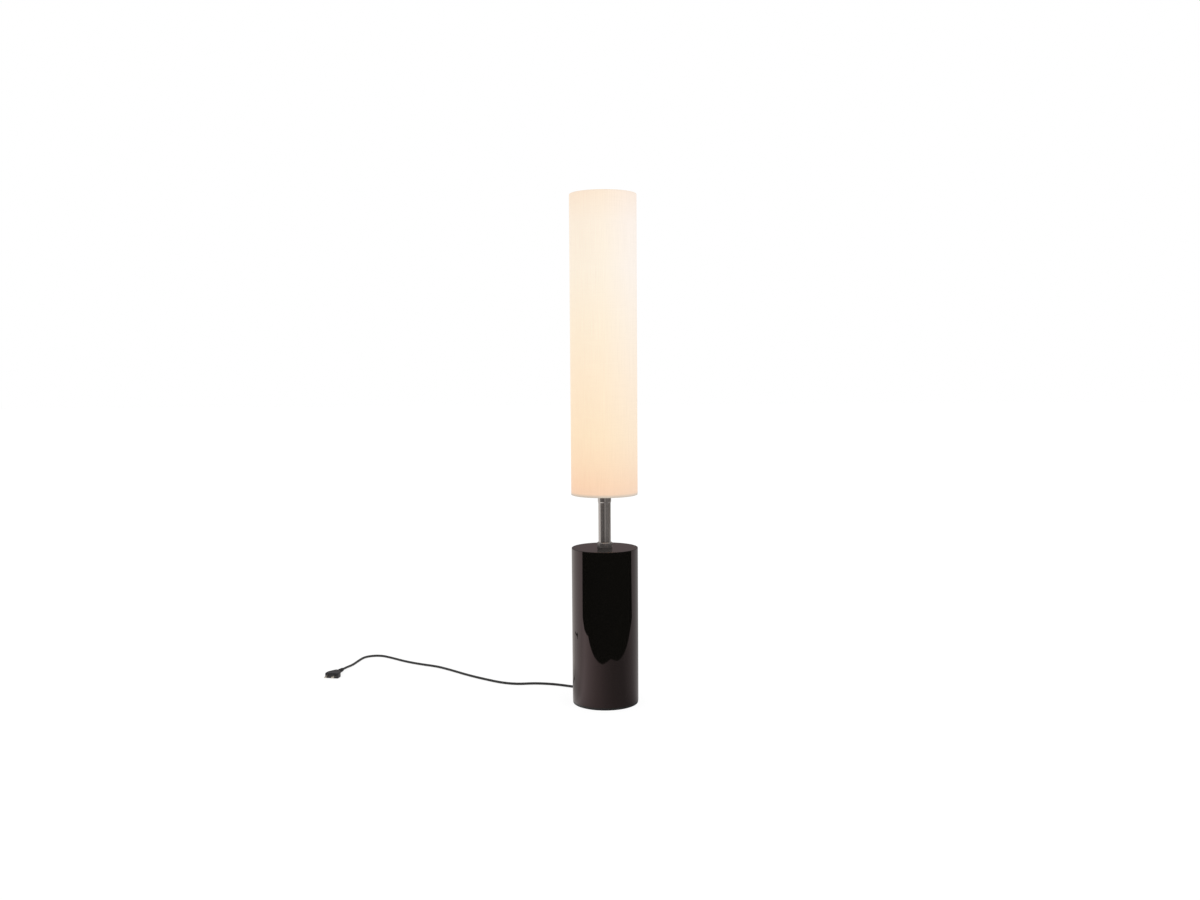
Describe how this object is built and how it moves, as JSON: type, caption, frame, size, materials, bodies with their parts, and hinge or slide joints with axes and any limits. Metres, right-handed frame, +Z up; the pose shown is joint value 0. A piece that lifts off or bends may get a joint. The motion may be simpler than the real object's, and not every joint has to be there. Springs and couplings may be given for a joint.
{
  "type": "column floor lamp",
  "caption": "Floor lamp with a tall narrow fabric cylinder shade over a round lacquered column base, joined by a short polished stem, with a floor lead, foot switch and plug.",
  "frame": {"origin": "middle of the foot pad's underside, on the floor", "axes": "+Z up along the lamp's axis; the front faces -Y; the lead leaves the base at +Y and runs to -X"},
  "size_m": [0.768, 0.5126, 1.145],
  "materials": {
    "pad_rubber": "matt",
    "plate_steel": "plain",
    "cast_iron": "cast",
    "zinc_steel": "zinc plated",
    "base_lacquer": "high gloss lacquer",
    "black_plastic": "fine texture",
    "button_plastic": "satin",
    "cord_sheath": "satin",
    "white_plastic": "gloss",
    "brass": "plain",
    "pin_brass": "nickel plated",
    "lead_sheath": "satin",
    "dark_nickel": "polished",
    "white_steel": "satin powder coat",
    "tip_rubber": "matt",
    "bulb_cap_metal": "rolled",
    "opal_glass": "opal",
    "shade_fabric": "fine weave",
    "shade_liner": "satin film"
  },
  "bodies": {
    "lamp": {"foot_pad": "pad_rubber", "base_plate": "plate_steel", "counterweight": "cast_iron", "weight_screws": "zinc_steel", "base_shell": "base_lacquer", "cord_gland": "black_plastic", "gland_nut": "black_plastic", "inner_cord": "cord_sheath", "terminal_bracket": "zinc_steel", "bracket_screws": "zinc_steel", "cord_clamp": "black_plastic", "clamp_screws": "zinc_steel", "terminal_block": "white_plastic", "terminal_screws": "brass", "lead_to_lower_holder": "lead_sheath", "lead_to_upper_holder": "lead_sheath", "stem_collar": "dark_nickel", "stem_tube": "dark_nickel", "stem_cap": "dark_nickel", "tie_rod": "zinc_steel", "rod_washer": "zinc_steel", "rod_nut": "zinc_steel", "centring_star": "white_steel", "star_tips": "tip_rubber", "carrier_tube": "white_steel", "top_stud": "zinc_steel", "shade_seat": "zinc_steel", "seat_screw": "zinc_steel", "lower_holder_arm": "white_steel", "upper_holder_arm": "white_steel", "arm_screws": "zinc_steel", "holder_nipples": "zinc_steel", "nipple_nuts": "zinc_steel", "lower_lampholder": "white_plastic", "upper_lampholder": "white_plastic", "holder_contacts": "brass", "lead_ties": "white_plastic", "switch_tray": "black_plastic", "switch_cover": "black_plastic", "switch_spring": "zinc_steel", "switch_contacts": "brass", "switch_screws": "zinc_steel", "cord_lead": "cord_sheath", "cord_link": "cord_sheath", "cord_coil": "cord_sheath", "cord_run": "cord_sheath", "plug_body": "black_plastic", "plug_pins": "pin_brass"},
    "shade": {"shade_fabric": "shade_fabric", "shade_liner": "shade_liner", "lower_ring": "white_steel", "upper_spider": "white_steel"},
    "finial": {"finial": "dark_nickel"},
    "lower_bulb": {"lower_bulb_cap": "bulb_cap_metal", "lower_bulb_dome": "opal_glass"},
    "upper_bulb": {"upper_bulb_cap": "bulb_cap_metal", "upper_bulb_dome": "opal_glass"},
    "foot_button": {"switch_button": "button_plastic"}
  },
  "joints": [
    {"name": "shade_lift", "type": "slide", "parent": "lamp", "child": "shade", "axis": [0, 0, 1], "range_m": [0, 0.7]},
    {"name": "finial_turn", "type": "hinge", "parent": "shade", "child": "finial", "pos_m": [0, 0, 1.125], "axis": [0, 0, 1], "range_deg": [0, 1440]},
    {"name": "lower_bulb_turn", "type": "hinge", "parent": "lamp", "child": "lower_bulb", "pos_m": [-0.038, 0, 0.7], "axis": [0, 0, 1], "range_deg": [0, 900]},
    {"name": "upper_bulb_turn", "type": "hinge", "parent": "lamp", "child": "upper_bulb", "pos_m": [0.038, 0, 0.95], "axis": [0, 0, 1], "range_deg": [0, 900]},
    {"name": "foot_button_press", "type": "slide", "parent": "lamp", "child": "foot_button", "axis": [0, 0, -1], "range_m": [0, 0.003], "stiffness_N_per_m": 600, "springref_m": -0.002, "deforming": ["switch_spring"]}
  ]
}
